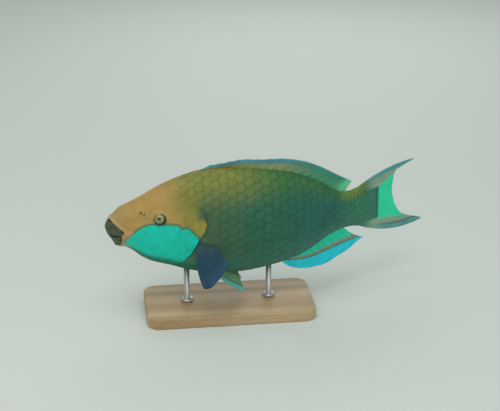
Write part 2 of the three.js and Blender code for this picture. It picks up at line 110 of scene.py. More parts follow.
def lamp(name, place, target, size, power):
    data = bpy.data.lights.new(name, "AREA")
    data.shape = "SQUARE"
    data.size = size
    data.energy = power
    light = bpy.data.objects.new(name, data)
    light.location = place
    light.rotation_euler = (Vector(place) - Vector(target)).to_track_quat("Z", "Y").to_euler()
    bpy.context.scene.collection.objects.link(light)


lamp("lamp_above", (-0.35, -0.5, 1.7), (0.05, 0, 0.12), 1.2, 12)
lamp("lamp_side", (0.2, -1.9, 0.8), (0.05, 0, 0.13), 1.0, 7)
lamp("lamp_behind", (0.4, 1.6, 1.0), (0.05, 0, 0.13), 1.0, 5)

# %% [markdown]
# Materials are made of nodes. Most finishes here need the same few: a colour, some noise that
# varies it, and a bump. A small helper that adds a node and sets its inputs keeps each finish short.

# %% Helpers for materials
def new_material(name, roughness, metallic=0.0, coat=0.0, shine=0.5):
    material = bpy.data.materials.new(name)
    material.use_nodes = True
    shader = material.node_tree.nodes["Principled BSDF"]
    shader.inputs["Roughness"].default_value = roughness
    shader.inputs["Metallic"].default_value = metallic
    shader.inputs["Coat Weight"].default_value = coat
    shader.inputs["Coat Roughness"].default_value = 0.25
    shader.inputs["Specular IOR Level"].default_value = shine
    return material, shader


def add_node(material, kind, settings=None, **inputs):
    node = material.node_tree.nodes.new("ShaderNode" + kind)
    for key, value in (settings or {}).items():
        setattr(node, key, value)
    for key, value in inputs.items():
        socket = node.inputs[key.replace("_", " ")]
        if isinstance(value, bpy.types.NodeSocket):
            material.node_tree.links.new(value, socket)
        else:
            socket.default_value = value
    return node


def connect(material, source, target):
    material.node_tree.links.new(source, target)


def noise(material, scale, detail=4.0, roughness=0.55, vector=None):
    node = add_node(material, "TexNoise", Scale=scale, Detail=detail, Roughness=roughness)
    if vector is None:
        vector = add_node(material, "TexCoord").outputs["Object"]
    connect(material, vector, node.inputs["Vector"])
    return node.outputs["Fac"]


def remap(material, value, low, high, to_low, to_high):
    node = add_node(material, "MapRange", Value=value)
    for key, number in (("From Min", low), ("From Max", high), ("To Min", to_low), ("To Max", to_high)):
        node.inputs[key].default_value = number
    return node.outputs["Result"]


def varied(material, scale, detail, low, high):
    """Noise that wanders between two values."""
    return remap(material, noise(material, scale, detail), 0.3, 0.7, low, high)


def marking_of(material, output="Color"):
    """The colour that is stored with each point of a mesh."""
    return add_node(material, "Attribute", {"attribute_name": "marking"}).outputs[output]


def tint(material, colour, factor):
    node = add_node(material, "VectorMath", {"operation": "SCALE"})
    connect(material, colour, node.inputs[0])
    connect(material, factor, node.inputs["Scale"])
    return node.outputs["Vector"]


def blend_colour(material, factor, first, second):
    node = add_node(material, "Mix", {"data_type": "RGBA"})
    connect(material, factor, node.inputs["Factor"])
    for key, value in (("A", first), ("B", second)):
        socket = [s for s in node.inputs if s.name == key and s.type == "RGBA"][0]
        if isinstance(value, bpy.types.NodeSocket):
            connect(material, value, socket)
        else:
            socket.default_value = (*value, 1)
    return [s for s in node.outputs if s.type == "RGBA"][0]


def add_bump(material, shader, height, strength, depth):
    node = add_node(material, "Bump", Strength=strength, Distance=depth)
    connect(material, height, node.inputs["Height"])
    connect(material, node.outputs["Normal"], shader.inputs["Normal"])


def colour(red, green, blue):
    """A screen colour, 0 to 255, as the linear values that Blender works with."""
    values = np.array((red, green, blue), float) / 255
    return np.where(values <= 0.04045, values / 12.92, ((values + 0.055) / 1.055) ** 2.4)


# %% [markdown]
# The markings of a fish run over skin, scales and fins without stopping at their edges. They could
# be painted in an image, but a rule is cleaner: code works out one colour for each point of a mesh,
# from how far it is behind the snout and how high on the side, and stores it with the mesh. The
# materials read that stored colour and add the fine variation.

# %% Helpers for meshes
MM = 0.001


def ease(start, end, value):
    """0 before start, 1 after end, and smooth between."""
    t = np.clip((value - start) / (end - start), 0, 1)
    return t * t * (3 - 2 * t)


def bell(value, width):
    """1 where value is 0, fading to nothing at about twice the width."""
    return np.exp(-(value / width) ** 2)


def mix(first, second, share):
    """Blends two colours, or two numbers, point by point."""
    share = np.asarray(share)
    if np.ndim(first) and np.shape(first)[-1] == 3 and share.shape != np.shape(first):
        share = share[..., None]
    return first + (second - first) * share


def unit(vectors):
    """The same directions with a length of 1."""
    return vectors / np.maximum(np.linalg.norm(vectors, axis=-1, keepdims=True), 1e-12)


def grid_faces(rows, columns, wrap=False):
    """The four-cornered faces of a grid of points, row by row."""
    last = columns if wrap else columns - 1
    row, column = np.meshgrid(np.arange(rows - 1), np.arange(last), indexing="ij")
    after = (column + 1) % columns
    corners = (
        row * columns + column,
        row * columns + after,
        (row + 1) * columns + after,
        (row + 1) * columns + column,
    )
    return np.stack(corners, axis=-1).reshape(-1, 4)


def closed_rings(rings, sides):
    """Faces of a body of rings, with a cap at each end."""
    faces = grid_faces(rings, sides, wrap=True).tolist()
    faces.append(list(range(sides))[::-1])
    faces.append(list(range((rings - 1) * sides, rings * sides)))
    return faces


def closed_sheet(rows, columns):
    """Faces of a thin body: a front grid, a back grid, and the rim that joins them."""
    per_face = rows * columns
    rim = np.concatenate([
        np.arange(columns),
        np.arange(2, rows + 1) * columns - 1,
        (rows - 1) * columns + np.arange(columns - 2, -1, -1),
        np.arange(rows - 2, 0, -1) * columns,
    ])
    after = np.roll(rim, -1)
    front = grid_faces(rows, columns)
    joins = np.stack([after, rim, rim + per_face, after + per_face], axis=-1)
    return np.concatenate([front, front[:, ::-1] + per_face, joins])


def make_piece(name, points, faces, material):
    """A mesh object in metres that rides on the body and takes the given finish."""
    mesh = bpy.data.meshes.new(name)
    mesh.from_pydata(np.asarray(points).tolist(), [], [list(face) for face in faces])
    mesh.validate()
    mesh.update()
    mesh.materials.append(material)
    mesh.shade_smooth()
    piece = bpy.data.objects.new(name, mesh)
    bpy.context.scene.collection.objects.link(piece)
    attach(piece, "root")
    return piece


def store_colour(piece, colours):
    rgba = np.ones((len(piece.data.vertices), 4), np.float32)
    rgba[:, :3] = colours
    layer = piece.data.color_attributes.new("marking", "FLOAT_COLOR", "POINT")
    layer.data.foreach_set("color", rgba.ravel())


def line_through(stations):
    """A smooth curve through the stations that never overshoots between two of them."""
    x, y = np.array(stations, float).T
    slope = np.diff(y) / np.diff(x)
    product = slope[:-1] * slope[1:]
    total = np.where(product > 0, slope[:-1] + slope[1:], 1)
    tangent = np.concatenate([slope[:1], np.where(product > 0, 2 * product / total, 0), slope[-1:]])

    def curve(value):
        value = np.clip(value, x[0], x[-1])
        i = np.clip(np.searchsorted(x, value, side="right") - 1, 0, len(x) - 2)
        span = x[i + 1] - x[i]
        t = (value - x[i]) / span
        rest = 1 - t
        return (
            y[i] * rest * rest * (1 + 2 * t)
            + tangent[i] * span * t * rest * rest
            + y[i + 1] * t * t * (3 - 2 * t)
            - tangent[i + 1] * span * t * t * rest
        )

    return curve


def distance_to(line, s, z, closed=True):
    """Distance in millimetres from points on the side to a line of corners; minus is inside a closed one."""
    corners = list(line) + ([line[0]] if closed else [])
    best = np.full(np.shape(s), 1e9)
    inside = np.zeros(np.shape(s), bool)
    for (s1, z1), (s2, z2) in zip(corners, corners[1:]):
        span = (s2 - s1) ** 2 + (z2 - z1) ** 2
        along = np.clip(((s - s1) * (s2 - s1) + (z - z1) * (z2 - z1)) / span, 0, 1)
        best = np.minimum(best, np.hypot(s - s1 - along * (s2 - s1), z - z1 - along * (z2 - z1)))
        if z1 != z2:
            crosses = (z1 > z) != (z2 > z)
            inside ^= crosses & (s < s1 + (z - z1) * (s2 - s1) / (z2 - z1))
    return np.where(inside & closed, -best, best)


# %% [markdown]
# The body is a loft: at each distance behind the snout it has a back height, a belly height and a
# half width, and an egg-shaped section joins them. The solids were made from the same lines, so the
# skin lands on them by itself. The spine is straight in front and bends into an arc behind, which
# swings the tail to the fish's right. Working in distances along the spine lets every mark and every
# scale follow the bend.

# %% The body's lines
BODY_LENGTH = 370.0
AXIS_HEIGHT = 131.0
BALANCE_POINT = 167.0
BEND_START = 0.5 * BODY_LENGTH
TAIL_SWING = math.radians(31)
FLESH_END = 397.0
WIDEST_LEVEL = 0.53
BACK_PINCH = 1.12
BELLY_PINCH = 0.94

back_at = line_through([
    (-2, 4), (0, 10), (6, 20), (18, 32), (33, 39), (46, 45.5), (74, 61), (104, 73), (130, 80), (160, 81.5),
    (200, 79), (240, 72.5), (270, 63), (304, 45), (334, 26.5), (352, 24), (374, 26.6), (388, 25), (397, 8),
])
belly_at = line_through([
    (-2, 4), (0, -3), (5, -16), (11, -25), (20, -25.5), (31, -30), (46, -42), (60, -49.5), (85, -57),
    (110, -65.5), (140, -71.5), (180, -72.5), (212, -69), (245, -63), (271, -56.5), (302, -42), (320, -34.5),
    (340, -31), (354, -31.5), (374, -35.6), (388, -35), (397, -18),
])
half_width_at = line_through([
    (-2, 0.5), (0, 6), (6, 10.5), (18, 15), (46, 22.5), (75, 28), (105, 31.5), (140, 33.5), (180, 33),
    (220, 29.5), (260, 23.5), (300, 16), (340, 9.5), (374, 4.4), (382, 2.5), (390, 0.9), (397, 0.4),
])


def place(s, y, z):
    """Millimetres along the spine, to the fish's right and above its axis, as metres in the room."""
    curvature = TAIL_SWING / (BODY_LENGTH - BEND_START)
    turn = curvature * (np.clip(s, BEND_START, BODY_LENGTH) - BEND_START)
    beyond = np.maximum(s - BODY_LENGTH, 0)
    x = np.minimum(s, BEND_START) + np.sin(turn) / curvature + beyond * np.cos(turn)
    aside = (1 - np.cos(turn)) / curvature + beyond * np.sin(turn)
    right = aside + y * np.cos(turn)
    return MM * np.stack([x - y * np.sin(turn) - BALANCE_POINT, right, z + AXIS_HEIGHT + 0 * right], axis=-1)


def section(s, angle):
    """The body's outline at one station; the angle runs from the back over the right side to the belly."""
    top = back_at(s)
    bottom = belly_at(s)
    middle = bottom + WIDEST_LEVEL * (top - bottom)
    rise = np.cos(angle)
    sweep = np.sin(angle)
    y = half_width_at(s) * np.sign(sweep) * np.abs(sweep) ** np.where(rise > 0, BACK_PINCH, BELLY_PINCH)
    z = middle + rise * np.where(rise > 0, top - middle, middle - bottom)
    return y, z


def flank_at(s, z):
    """How far out the right flank is at a place on the side."""
    low = np.zeros(np.broadcast(s, z).shape)
    high = np.full_like(low, math.pi)
    for _ in range(30):
        angle = (low + high) / 2
        above = section(s, angle)[1] > z
        low = np.where(above, angle, low)
        high = np.where(above, high, angle)
    return section(s, low)[0]


print("widest at mid body:", round(2 * float(half_width_at(140)), 1), "mm")

# %% [markdown]
# What makes a head read as alive is relief: the gill cover's free edge with a groove behind it, the
# lips round the beak, the rim and the socket of the eye, two small nostrils. Each is a small rise or
# fall of the surface, measured from a line or a point on the side. Adding them up in one function
# gives a single skin with no joins. Modelling each as its own piece would leave seams.

# %% Relief of the head
GILL_EDGE = [
    (100, 33), (110, 36.5), (119, 36.5), (127, 31), (132.5, 21), (134.5, 11), (131.5, 1), (125, -9),
    (119.5, -21), (113, -33), (105, -43), (95, -50), (82, -53),
]
GILL_FRONT = [(82, 0), (90, 33)]
CHEEK_BONE = [(86, 14), (91, 0), (90, -16), (82, -31), (70, -40)]
BEAK_REGION = [
    (-12, 15.5), (4.5, 15.5), (9.5, 10.5), (16, 5.5), (22, 1), (22.5, -2.5), (19, -6.5), (20, -12),
    (18.5, -19), (13.5, -26.5), (-12, -26.5),
]
MOUTH_CORNER = [(21, -3), (33, -2.5)]
EYE = (71.5, 20.5)
EYE_RADIUS = 10.5
EYE_PROUD = 3.0
NOSTRILS = [(46, 28, 1.5), (50.5, 26.5, 1.1)]


def relief(s, z):
    """Millimetres that the skin stands out from the plain body, at a place on the side."""
    plate = -distance_to(GILL_EDGE + GILL_FRONT, s, z)
    below_nape = 1 - ease(20, 33, z) * (1 - ease(112, 128, s))
    behind_cheek = ease(84, 104, s) * below_nape
    height = 1.5 * ease(-0.3, 1.5, plate) * ease(70, 118, s) * below_nape
    height -= 1.2 * bell(plate + 1.3, 1.0) * behind_cheek
    height += 0.5 * bell(plate - 2.2, 1.6) * behind_cheek
    height -= 0.55 * bell(distance_to(CHEEK_BONE, s, z, closed=False), 1.4)
    mouth = distance_to(BEAK_REGION, s, z)
    height += 1.7 * bell(mouth - 2.3, 1.8) * (0.35 + 0.65 * ease(-27, -17, z))
    height -= np.minimum(4.0, 0.6 * half_width_at(s)) * (1 - ease(-1.6, 0.3, mouth))
    height -= 1.1 * bell(distance_to(MOUTH_CORNER, s, z, closed=False), 1.1) * ease(0, 1.5, mouth)
    from_eye = np.hypot(s - EYE[0], z - EYE[1])
    height += 1.2 * bell(from_eye - 8.9, 1.3)
    height -= 0.35 * bell(from_eye - 12.2, 1.6)
    height -= 5.5 * (1 - ease(6.7, 8.0, from_eye))
    for pit_s, pit_z, radius in NOSTRILS:
        from_pit = np.hypot(s - pit_s, z - pit_z)
        height += 0.5 * bell(from_pit - 1.7 * radius, 0.6)
        height -= 1.6 * (1 - ease(0.3 * radius, 1.1 * radius, from_pit))
    return height


def surface(s, angle, lift=0.0):
    """A point of the skin, with its relief, in metres; lift moves it outwards in millimetres."""
    step = 0.05
    y, z = section(s, angle)
    point = place(s, y, z)
    along = place(s + step, *section(s + step, angle)) - place(s - step, *section(s - step, angle))
    small = step / 40
    around = place(s, *section(s, angle + small)) - place(s, *section(s, angle - small))
    return point + MM * (relief(s, z) + lift)[..., None] * unit(np.cross(along, around))


# %% [markdown]
# Markings and painted shade of the body
#
# Olive and orange-brown on the head and nape, a bright turquoise cheek with a dark green rim, green
# flanks that turn teal towards the tail, and an olive saddle on the tail stalk. A few named colours
# and soft borders between them are enough, because on a live fish hardly any border is sharp. Painted
# shade darkens the groove behind the gill cover, the socket round the eye and the nostrils, and a
# painted highlight lies on the rim above the eye.

# %% Markings and painted shade of the body
HEAD_BROWN = colour(176, 142, 78)
HEAD_GOLD = colour(150, 140, 60)
NAPE_OLIVE = colour(120, 124, 54)
SNOUT = colour(166, 142, 92)
BREAST_MAUVE = colour(92, 120, 108)
LIP_GREY = colour(132, 132, 108)
CHEEK = colour(4, 200, 176)
# The dark green of the cheek's rim; darkened copies of it are painted shade in the gill groove, the eye
# socket and the nostrils.
CHEEK_RIM_AND_SHADE = colour(16, 112, 84)
LIP_PINK = colour(206, 166, 112)
BACK_GREEN = colour(62, 112, 58)
FLANK_FRONT = colour(66, 98, 68)
FLANK_MIDDLE = colour(36, 100, 76)
FLANK_REAR = colour(32, 100, 88)
BELLY_GREEN = colour(58, 116, 102)
STALK_GREEN = colour(46, 124, 92)
STALK_OLIVE = colour(104, 134, 66)
CHEEK_PATCH = [
    (19, -18), (26, -11), (33, -4.5), (40, 3.5), (48, 9), (57, 12.5), (68, 13.3), (80, 13.3), (92, 12.6),
    (97, 11), (100, 6.5), (104, 8.5), (110, 7.5), (115, 1.5), (121, -4), (124, -10), (118, -22),
    (112, -33), (105, -43), (94, -50), (78, -50), (60, -43), (45, -35), (31, -24.5), (21, -21),
]


def layered(shade, *layers):
    """A colour with others laid over it in turn, each with the share that it covers."""
    for over, share in layers:
        shade = mix(shade, over, share)
    return shade


def body_marking_and_shade(s, z, y):
    height = (z - belly_at(s)) / np.maximum(back_at(s) - belly_at(s), 1)
    flank = layered(
        FLANK_FRONT,
        (FLANK_MIDDLE, ease(140, 215, s)),
        (FLANK_REAR, ease(230, 290, s)),
        (STALK_GREEN, ease(318, 360, s)),
    )
    body = layered(
        BELLY_GREEN,
        (flank, ease(0.02, 0.35, height)),
        (BACK_GREEN, ease(0.66, 0.95, height) * (1 - 0.3 * ease(150, 300, s))),
        (NAPE_OLIVE, (1 - ease(150, 250, s)) * ease(0.62, 0.96, height)),
    )
    head = layered(
        HEAD_BROWN,
        (NAPE_OLIVE, ease(0.42, 0.95, height + (s - 90) / 110) * ease(60, 122, s)),
        (HEAD_GOLD, ease(96, 122, s) * ease(-14, -4, z) * (1 - ease(16, 30, z))),
        (SNOUT, 1 - ease(10, 34, s)),
    )
    plate = -distance_to(GILL_EDGE + GILL_FRONT, s, z)
    behind = mix(1 - ease(-1.5, 0.5, plate), ease(-10, 10, s - 124), ease(14, 24, z)) * ease(88, 100, s)
    breast = (1 - ease(-12, -2, z)) * (1 - ease(118, 142, s)) * ease(84, 100, s)
    # Painted shade: a dark line in the groove behind the gill cover's edge.
    groove_shade = bell(plate + 1.2, 1.0) * ease(104, 118, s) * (1 - ease(16, 28, z))
    saddle = ease(322, 345, s) * (1 - ease(372, 384, s)) * ease(0.68, 0.95, height)
    cheek = distance_to(CHEEK_PATCH, s, z)
    throat = (1 - ease(6, 16, np.abs(y))) * (1 - ease(0.05, 0.3, height))
    throat = np.maximum(throat, 1 - ease(0.08, 0.16, height))
    lips = bell(distance_to(BEAK_REGION, s, z) - 2.5, 2.0)
    under_lip = bell(np.hypot(s - 24, (z + 13) / 2), 3.4)
    corner = bell(distance_to([(26, -0.5), (31, -0.5)], s, z, closed=False), 3.2)
    ring = np.hypot(s - EYE[0], z - EYE[1])
    shade = layered(
        head,
        (body, behind),
        (BREAST_MAUVE, 0.85 * breast),
        # Painted shade in the gill groove.
        (CHEEK_RIM_AND_SHADE * 0.35, 0.6 * groove_shade),
        (STALK_OLIVE, saddle),
        (CHEEK_RIM_AND_SHADE, 0.85 * (1 - ease(0.5, 4.5, cheek)) * ease(24, 34, s)),
        (CHEEK, 1 - ease(-2.2, 1.0, cheek)),
        (CHEEK_RIM_AND_SHADE, 0.85 * throat * ease(28, 40, s) * (1 - ease(112, 140, s))),
        (LIP_PINK, 0.4 * lips * (1 - ease(24, 30, s))),
        (LIP_GREY, 0.8 * under_lip),
        (LIP_PINK, 0.9 * corner),
        # Painted shade: the sunk socket round the eye ball is darkened.
        (CHEEK_RIM_AND_SHADE * 0.5, 0.75 * (1 - ease(7.6, 9.6, ring))),
        # Painted highlight: a lighter band of the head's brown on the upper half of the rim round the eye.
        (HEAD_BROWN * 1.1, 0.5 * bell(ring - 11.5, 1.6) * ease(16, 22, z)),
    )
    # Painted shade: the nostril pits are darkened.
    for pit_s, pit_z, radius in NOSTRILS:
        from_pit = np.hypot(s - pit_s, z - pit_z)
        shade = mix(shade, CHEEK_RIM_AND_SHADE * 0.5, 0.8 * (1 - ease(0.6 * radius, 1.7 * radius, from_pit)))
    return shade


# %% [markdown]
# The finish of a fish's skin is a clear, moist layer over soft colour. The stored colour gets slow
# mottling and fine speckles, the roughness varies a little, and a thin coat gives the moist look.

# %% Skin finish
def moist_finish(name, roughness, coat, mottle, speckle, moisture, grain, bump):
    """Each noise is its size and detail; those of colour and roughness end with their low and high."""
    material, shader = new_material(name, roughness, coat=coat, shine=0.3)
    shade = tint(material, marking_of(material), varied(material, *mottle))
    connect(material, tint(material, shade, varied(material, *speckle)), shader.inputs["Base Color"])
    connect(material, varied(material, *moisture), shader.inputs["Roughness"])
    add_bump(material, shader, noise(material, *grain), *bump)
    return material


SKIN_MOTTLE = (70, 5, 0.9, 1.1)
SKIN_SPECKLE = (700, 2, 0.94, 1.06)
SKIN_BUMP = (0.35, 0.0004)
skin_material = moist_finish(
    "moist_skin", 0.52, 0.04, SKIN_MOTTLE, SKIN_SPECKLE, (120, 3, 0.44, 0.62), (900, 3), SKIN_BUMP)
scale_material = moist_finish(
    "moist_scales", 0.5, 0.04, SKIN_MOTTLE, SKIN_SPECKLE, (120, 3, 0.42, 0.6), (600, 3), SKIN_BUMP)

# %% [markdown]
# The skin is one closed grid of points: rings round the body, closer together where the head's small
# forms need them. A grid in the body's own lines is better here than a sculpted or remeshed surface,
# because each point knows its place along and around the fish, which the markings use.

# %% Skin
STATION_SPACING = line_through([
    (-2, 0.4), (10, 0.7), (30, 0.8), (50, 0.7), (60, 0.6), (84, 0.6), (96, 0.8), (118, 0.7), (136, 0.7),
    (160, 1.5), (340, 1.6), (380, 1.4), (397, 0.8),
])
SIDES = 240
COAT_DEPTH = 0.25

stations = [-1.9]
while stations[-1] < FLESH_END - 0.4:
    stations.append(stations[-1] + float(STATION_SPACING(stations[-1])))
stations = np.minimum(np.array(stations), FLESH_END)
angles = 2 * math.pi * np.arange(SIDES) / SIDES
ring_s, ring_angle = np.meshgrid(stations, angles, indexing="ij")
skin_points = surface(ring_s, ring_angle, -COAT_DEPTH * ease(84, 104, ring_s)).reshape(-1, 3)
skin_faces = grid_faces(len(stations), SIDES, wrap=True).tolist()
for first, flip in ((0, False), ((len(stations) - 1) * SIDES, True)):
    ring = list(range(first, first + SIDES))
    skin_faces.append(ring[::-1] if flip else ring)
skin = make_piece("skin", skin_points, skin_faces, skin_material)
ring_y, ring_z = section(ring_s, ring_angle)
store_colour(skin, body_marking_and_shade(ring_s, ring_z, ring_y).reshape(-1, 3))
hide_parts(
    "head", "lower_jaw", "gill_cover_left", "gill_cover_right",
    "upper_lip", "lower_lip", "trunk", "tail_stalk",
)
print("skin:", len(stations), "rings of", SIDES, "points")

# %% [markdown]
# A parrotfish has large, smooth-edged scales, about two dozen along the side, in rows that overlap
# like roof tiles with their free edges towards the tail. Each scale here is a small curved plate with
# a real rim: its root lies in the skin, and its rear stands just over the next one. Its underside,
# which nobody sees, is left open. The rows follow the body lengthwise at an even distance over the
# skin, staggered by half a scale, so a table of distances round each section is measured first.

# %% Distances over the skin
ARC_ANGLES = np.linspace(-0.7, math.pi + 0.7, 260)
ARC_SPACING = 2.0
ARC_STATIONS = np.arange(0.0, 396.0, ARC_SPACING)


def arcs_at(s):
    """Distance over the skin from the middle of the right flank, plus towards the back."""
    y, z = section(np.full_like(ARC_ANGLES, s), ARC_ANGLES)
    lengths = np.hypot(np.diff(y), np.diff(z))
    arc = np.concatenate([[0], np.cumsum(lengths)])
    return np.interp(math.pi / 2, ARC_ANGLES, arc) - arc


arc_table = np.array([arcs_at(s) for s in ARC_STATIONS])


def arcs_between(s):
    """The measured distances at any station."""
    row = np.clip(s / ARC_SPACING, 0, len(ARC_STATIONS) - 1.001)
    low = int(row)
    return arc_table[low] + (arc_table[low + 1] - arc_table[low]) * (row - low)


def angle_for(s, arc):
    """The section angle at a distance over the skin from the middle of the flank."""
    return np.interp(-arc, -arcs_between(s), ARC_ANGLES)


def arc_for(s, angle):
    """The distance over the skin at a section angle."""
    return float(np.interp(angle, ARC_ANGLES, arcs_between(s)))


# %% One scale, and the coat
SCALE_ROWS = 9
SCALE_COLUMNS = 9
RIM = 0.32
ROOT_DEPTH = 0.32
DOME = 0.1
PATCH = (0.003, 0.0015)


def scale_plate(s, arc, length, width, lift, side, draw):
    """Points, colours and map places of one scale, in rows from its root to its free edge."""
    across = np.linspace(-1, 1, SCALE_COLUMNS)
    across = np.concatenate([across[:1], across, across[-1:]])
    drop = np.concatenate([[1], np.zeros(SCALE_COLUMNS), [1]])
    along = np.linspace(0, 1, SCALE_ROWS)
    along = np.concatenate([along, along[-1:]])
    edge = np.concatenate([np.zeros(SCALE_ROWS), [1]])
    reach = 1 - 0.4 * np.abs(across) ** 2.1
    grid_s = s + length * along[:, None] * reach[None, :]
    grid_arc = arc + 0.5 * width * across[None, :] * (0.86 + 0.14 * ease(0, 0.4, along))[:, None]
    grid_angle = np.array([
        [angle_for(at, over) for at, over in zip(row_s, row_arc)] for row_s, row_arc in zip(grid_s, grid_arc)
    ])
    rise = along[:, None] ** 0.9 * np.ones_like(across)[None, :]
    height = mix(-COAT_DEPTH - ROOT_DEPTH, lift, rise)
    height += DOME * (1 - across * across)[None, :] * np.sin(math.pi * along)[:, None]
    height = height - RIM * np.maximum(drop[None, :], edge[:, None])
    points = surface(grid_s, side * grid_angle, height)
    y, z = section(grid_s, grid_angle)
    shade = body_marking_and_shade(grid_s, z, y)
    # Each scale keeps its random tone; painted shade darkens its sides and its free edge, where it stands
    # over the next scale.
    edge_shade = np.maximum(ease(0.72, 1.0, along)[:, None], ease(0.75, 1.0, np.abs(across))[None, :])
    shade = shade * (draw * (1.02 - 0.06 * edge_shade))[..., None]
    root = (s / 420 + 0.02, (side * angle_for(s, arc) % (2 * math.pi)) / 6.6 + 0.02)
    patch = np.stack(np.broadcast_arrays(
        root[0] + PATCH[0] * (along[:, None] - 0.5), root[1] + PATCH[1] * across[None, :]), axis=-1)
    return points.reshape(-1, 3), shade.reshape(-1, 3), patch.reshape(-1, 2)


def coat(name, places, side, seed):
    """One joined mesh of many scales; places holds s, arc, length, width and lift for each."""
    draw = np.random.default_rng(seed)
    plates = [scale_plate(*spot, side, draw.uniform(0.96, 1.04)) for spot in places]
    columns = SCALE_COLUMNS + 2
    single = grid_faces(SCALE_ROWS + 1, columns)
    if side < 0:
        single = single[:, ::-1]
    per_plate = (SCALE_ROWS + 1) * columns
    faces = np.concatenate([single + i * per_plate for i in range(len(plates))])
    points, shades, patches = (np.concatenate(part) for part in zip(*plates))
    piece = make_piece(name, points, faces, scale_material)
    store_colour(piece, shades)
    layer = piece.data.uv_layers.new(name="OFBake")
    corners = np.zeros(len(piece.data.loops), np.int32)
    piece.data.loops.foreach_get("vertex_index", corners)
    layer.data.foreach_set("uv", np.asarray(patches, np.float32)[corners].ravel())
    print(name, "has", len(plates), "scales,", 2 * len(faces), "triangles")


# %% Where the scales lie
SIDE_NAMES = ((-1, "left"), (1, "right"))
SCALE_STEP = 11.6
SCALE_TALL = 13.2
OVERLAP_BEHIND = 1.62
OVERLAP_ASIDE = 1.12
BODY_LIFT = 0.08
COVER_SCALE = (13.5, 12.6, 0.02)
FLANK_ONLY = slice(60, 200)
size_at = line_through([(60, 0.8), (110, 0.92), (160, 1.0), (260, 0.95), (340, 0.78), (390, 0.62)])


def body_scales():
    """Rows over the body from behind the gill cover and the nape to the root of the tail fin."""
    spots = []
    column = 0
    s = 84.0
    while s < 380:
        size = float(size_at(s))
        tall = SCALE_TALL * size
        ridge = arc_for(s, 0.0)
        keel = arc_for(s, math.pi)
        shift = 0.5 * (column % 2)
        for row in range(-14, 15):
            arc = (row + shift) * tall
            if arc > ridge + 0.3 * tall or arc < keel - 0.3 * tall:
                continue
            level = section(s, angle_for(s, arc))[1]
            gill = distance_to(GILL_EDGE + GILL_FRONT, s + 2, level)
            on_head = s < 124 and level < 34 + (124 - s) * 0.3
            if gill < 0.5 or on_head:
                continue
            spots.append((s, arc, OVERLAP_BEHIND * SCALE_STEP * size, OVERLAP_ASIDE * tall, BODY_LIFT))
        s += SCALE_STEP * size
        column += 1
    return spots


def cover_scales():
    """Flat scales on the gill cover and cheek, in four upright rows."""
    spots = []
    flank_angles = ARC_ANGLES[FLANK_ONLY]
    for column, s in enumerate(np.arange(84, 122, 9.8)):
        for row in range(-6, 6):
            level = 12.0 * (row + 0.5 * (column % 2)) - 6
            inside = -distance_to(GILL_EDGE + GILL_FRONT, s + 7, level)
            if inside < 7 or level > 26:
                continue
            levels = section(np.full_like(flank_angles, s), flank_angles)[1]
            arc = float(np.interp(-level, -levels, arc_table[int(s / ARC_SPACING)][FLANK_ONLY]))
            spots.append((float(s), arc, *COVER_SCALE))
    return spots


for side, side_name in SIDE_NAMES:
    spots = body_scales() + cover_scales()
    front = [spot for spot in spots if spot[0] < 190]
    rear = [spot for spot in spots if spot[0] >= 190]
    coat("scales_front_" + side_name, front, side, 11)
    coat("scales_rear_" + side_name, rear, side, 12)

# %% [markdown]
# A fin is a thin skin over rays. In a parrotfish the first nine rays of the back fin and three of the
# anal fin are plain flexible spines, and the others are soft rays that fork twice on their way out.
# The fin could be a flat sheet with a bump, but then its edge and its shadow would be dead straight.
# Here one grid makes both faces, thick on the rays and thin between them, and each ray really forks.

# %% Fin finish
fin_material = moist_finish(
    "fin_membrane", 0.42, 0.03, (90, 4, 0.9, 1.1), (900, 2, 0.93, 1.07), (160, 4, 0.36, 0.52),
    (1400, 2), (0.3, 0.0002))

# %% A fin from its surface
RAY_COLUMNS = 12


def ray_height(u, v, rays, spines):
    """1 on top of a ray and 0 between; the soft rays fork twice on the way out."""
    position = u * (rays - 1)
    number = np.round(position)
    off = position - number
    soft = (number >= spines) * 1.0
    first_fork = 0.24 * ease(0.3, 0.62, v) * soft
    second_fork = 0.115 * ease(0.58, 0.9, v) * soft
    width = mix(0.14, 0.055, ease(0.25, 0.9, v) * soft)
    height = np.zeros_like(off)
    for outer in (-1, 1):
        for inner in (-1, 1):
            height = np.maximum(height, bell(off - outer * first_fork - inner * second_fork, width))
    joints = 1 - 0.16 * soft * ease(0.25, 0.5, v) * (0.5 + 0.5 * np.cos(2 * math.pi * 34 * v))
    return height * joints


def fin_piece(name, node, sheet, marking, rays, spines=0, rows=40,
              web=(0.5, 0.22), ridge=(0.8, 0.22), flesh=0.0):
    """Both faces of a fin. sheet(u, v) gives metres, u across the rays and v from root to edge."""
    across = np.linspace(0, 1, (rays - 1) * RAY_COLUMNS + 1)
    out = np.linspace(0, 1, rows + 1)
    v, u = np.meshgrid(out, across, indexing="ij")
    step = 0.004
    middle = sheet(u, v)
    over = sheet(np.clip(u + step, 0, 1), v) - sheet(np.clip(u - step, 0, 1), v)
    up = sheet(u, np.clip(v + step, 0, 1)) - sheet(u, np.clip(v - step, 0, 1))
    relief_here = ray_height(u, v, rays, spines)
    half = mix(*web, v) + mix(*ridge, v ** 0.7) * relief_here
    half += flesh * bell(v, 0.16) * np.sqrt(4 * u * (1 - u))
    outwards = MM * half[..., None] * unit(np.cross(over, up))
    points = np.stack([middle + outwards, middle - outwards]).reshape(-1, 3)
    faces = closed_sheet(rows + 1, len(across))
    piece = make_piece(name, points, faces, fin_material)
    store_colour(piece, np.tile(marking(u, v, relief_here).reshape(-1, 3), (2, 1)))
    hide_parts(node)
    print(name, "has", rays, "rays,", 2 * len(faces), "triangles")


# %% [markdown]
# The back fin runs from the nape to the tail stalk. Its spiny front is low and lies close, its soft
# rear is higher, and its rays lean back. It is olive like the nape at its foot with a blue edge, and
# turns green with dark streaks and a bright green end behind.

